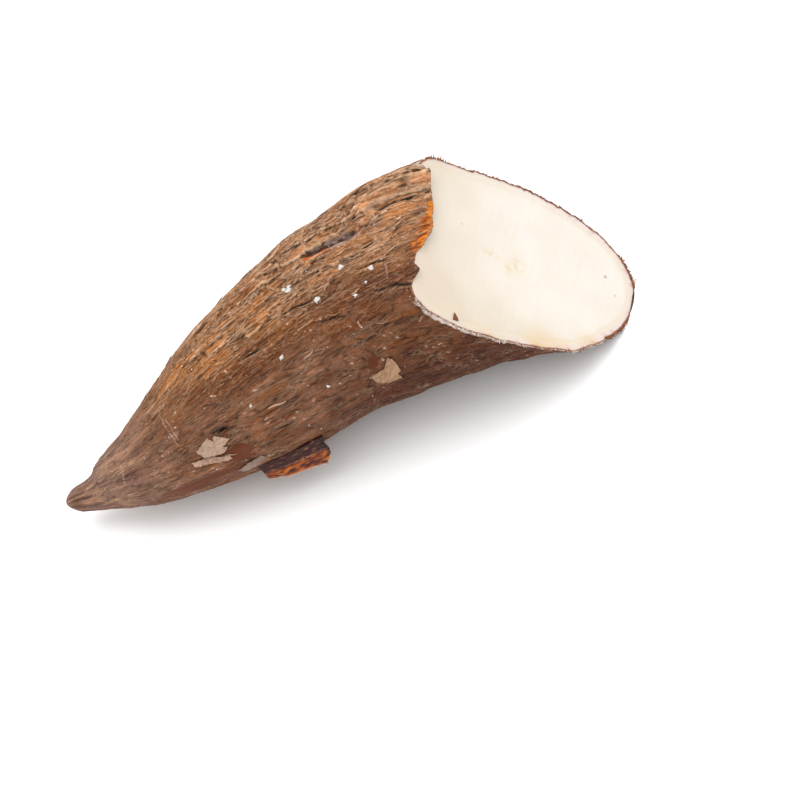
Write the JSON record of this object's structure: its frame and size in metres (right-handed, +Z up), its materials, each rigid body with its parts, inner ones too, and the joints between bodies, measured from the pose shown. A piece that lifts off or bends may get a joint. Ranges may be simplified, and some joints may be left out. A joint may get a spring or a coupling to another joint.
{
  "type": "cassava root",
  "caption": "Cut half of a cassava root lying on its side, with a thin tapered tip, wrinkled brown bark and a smooth slanting cream cut face.",
  "frame": {"origin": "on the ground under the centre of the root's bounding box, as it lies", "axes": "+X from the thin tip towards the cut face, +Z up, the cut face leaning towards +X, up and a little towards -Y"},
  "size_m": [0.1839, 0.0624, 0.0587],
  "materials": {
    "bark": "wrinkled, flaky grey-brown to orange-brown bark with a thin waxy gloss",
    "flesh": "smooth moist cream-white starchy flesh with a pinkish-white rind ring"
  },
  "bodies": {
    "root": {"cassava_root": "bark"}
  },
  "joints": []
}
